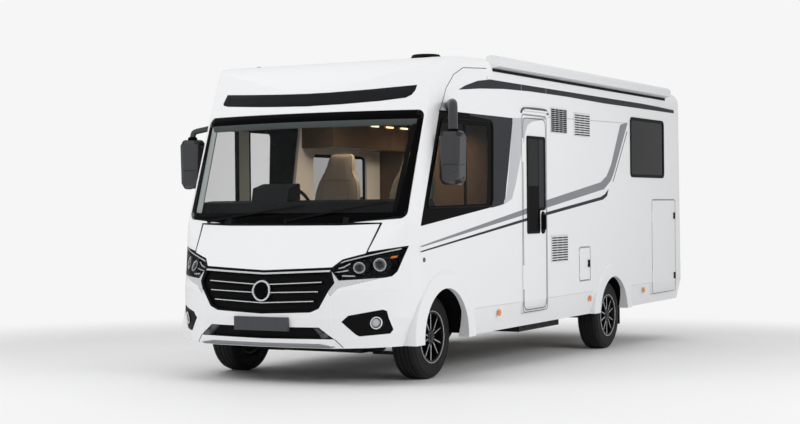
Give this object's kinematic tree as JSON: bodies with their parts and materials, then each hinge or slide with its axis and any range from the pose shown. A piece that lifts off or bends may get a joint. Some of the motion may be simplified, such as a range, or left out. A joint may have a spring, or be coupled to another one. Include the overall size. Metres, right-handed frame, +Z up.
{
  "type": "motorhome",
  "caption": "Integrated motorhome with hinged bonnet, habitation door, garage door and service hatch, steering front wheels and rolling rear wheels.",
  "frame": {"origin": "on the ground, at the centre of the whole vehicle's box", "axes": "+X forward, +Y to the vehicle's left, +Z up"},
  "size_m": [7.4556, 2.85, 2.9748],
  "materials": {
    "body_white": "gloss gelcoat",
    "awning_white": "satin powder coat",
    "vent_white": "satin plastic",
    "clear_glass": "clear automotive glass",
    "dark_glass": "tinted glass",
    "black_trim": "grained black plastic",
    "mirror_black": "satin black plastic",
    "bright_trim": "chrome and silver paint",
    "lamp_chrome": "reflector chrome in black housings",
    "lamp_red": "red lens",
    "lamp_amber": "amber lens",
    "tyre_rubber": "rubber",
    "rim_alloy": "black alloy, machined edges",
    "steel_dark": "chassis paint",
    "under_plastic": "moulded plastic",
    "floor_board": "floor laminate",
    "interior_wood": "furniture laminate",
    "seat_cloth": "upholstery",
    "dash_plastic": "soft-grain dashboard"
  },
  "bodies": {
    "coach": {"arch_liners": "black_trim", "arch_lips": "body_white", "awning_cassette": "awning_white", "cab_seats": "seat_cloth", "chassis_frame": "steel_dark", "dashboard": "dash_plastic", "dinette": "seat_cloth", "edge_trims": "body_white", "engine_block": "steel_dark", "floor_panel": "floor_board", "front_bulkhead": "under_plastic", "front_bumper": "body_white", "front_cap": "body_white", "front_grilles": "black_trim", "front_lamps": "lamp_chrome", "front_suspension": "steel_dark", "front_wings": "body_white", "furniture": "interior_wood", "headlamp_covers": "clear_glass", "marker_lamps": "lamp_amber", "mirrors": "mirror_black", "nose_trim": "bright_trim", "number_plates": "black_trim", "rear_axle": "steel_dark", "rear_bed": "seat_cloth", "rear_lamps": "lamp_red", "rear_wall": "body_white", "roof_dish": "black_trim", "roof_lights": "vent_white", "roof_shell": "body_white", "side_wall_left": "body_white", "side_wall_right": "body_white", "side_windows": "dark_glass", "skirts": "body_white", "steering_wheel": "dash_plastic", "underfloor_units": "under_plastic", "wall_vents": "vent_white", "windscreen": "clear_glass", "wipers": "black_trim"},
    "bonnet": {"bonnet": "body_white"},
    "hab_door": {"hab_door": "body_white", "hab_door_window": "dark_glass", "hab_door_handle": "black_trim"},
    "garage_door": {"garage_door": "body_white"},
    "service_hatch": {"service_hatch": "body_white"},
    "knuckle_left": {"knuckle_left": "steel_dark"},
    "knuckle_right": {"knuckle_right": "steel_dark"},
    "wheel_front_left": {"tyre_front_left": "tyre_rubber", "rim_front_left": "rim_alloy"},
    "wheel_front_right": {"tyre_front_right": "tyre_rubber", "rim_front_right": "rim_alloy"},
    "wheel_rear_left": {"tyre_rear_left": "tyre_rubber", "rim_rear_left": "rim_alloy"},
    "wheel_rear_right": {"tyre_rear_right": "tyre_rubber", "rim_rear_right": "rim_alloy"}
  },
  "joints": [
    {"name": "steer_left", "type": "hinge", "parent": "coach", "child": "knuckle_left", "pos_m": [2.63064, 0.85, 0.358], "axis": [0.0201, 0, 0.9998], "range_deg": [-34, 34]},
    {"name": "steer_right", "type": "hinge", "parent": "coach", "child": "knuckle_right", "pos_m": [2.63064, -0.85, 0.358], "axis": [0.0201, 0, 0.9998], "range_deg": [-34, 34]},
    {"name": "wheel_front_left_spin", "type": "hinge", "parent": "knuckle_left", "child": "wheel_front_left", "pos_m": [2.63064, 0.915, 0.358], "axis": [0, 1, 0], "continuous": true},
    {"name": "wheel_front_right_spin", "type": "hinge", "parent": "knuckle_right", "child": "wheel_front_right", "pos_m": [2.63064, -0.915, 0.358], "axis": [0, 1, 0], "continuous": true},
    {"name": "wheel_rear_left_spin", "type": "hinge", "parent": "coach", "child": "wheel_rear_left", "pos_m": [-1.40436, 0.985, 0.358], "axis": [0, 1, 0], "continuous": true},
    {"name": "wheel_rear_right_spin", "type": "hinge", "parent": "coach", "child": "wheel_rear_right", "pos_m": [-1.40436, -0.985, 0.358], "axis": [0, 1, 0], "continuous": true},
    {"name": "hab_door_hinge", "type": "hinge", "parent": "coach", "child": "hab_door", "pos_m": [1.03474, 1.166, 1.42525], "axis": [0.0201, 0, 0.9998], "range_deg": [-95, 0]},
    {"name": "garage_door_hinge", "type": "hinge", "parent": "coach", "child": "garage_door", "pos_m": [-2.66788, 1.166, 1.08299], "axis": [0.0201, 0, 0.9998], "range_deg": [-100, 0]},
    {"name": "service_hatch_hinge", "type": "hinge", "parent": "coach", "child": "service_hatch", "pos_m": [-0.41062, 1.166, 0.92365], "axis": [0.0201, 0, 0.9998], "range_deg": [-110, 0]},
    {"name": "bonnet_hinge", "type": "hinge", "parent": "coach", "child": "bonnet", "pos_m": [3.42998, 0, 1.26414], "axis": [0, -1, 0], "range_deg": [0, 40]}
  ],
  "couplings": [
    {"joint": "steer_right", "follows": "steer_left", "ratio": 1}
  ]
}
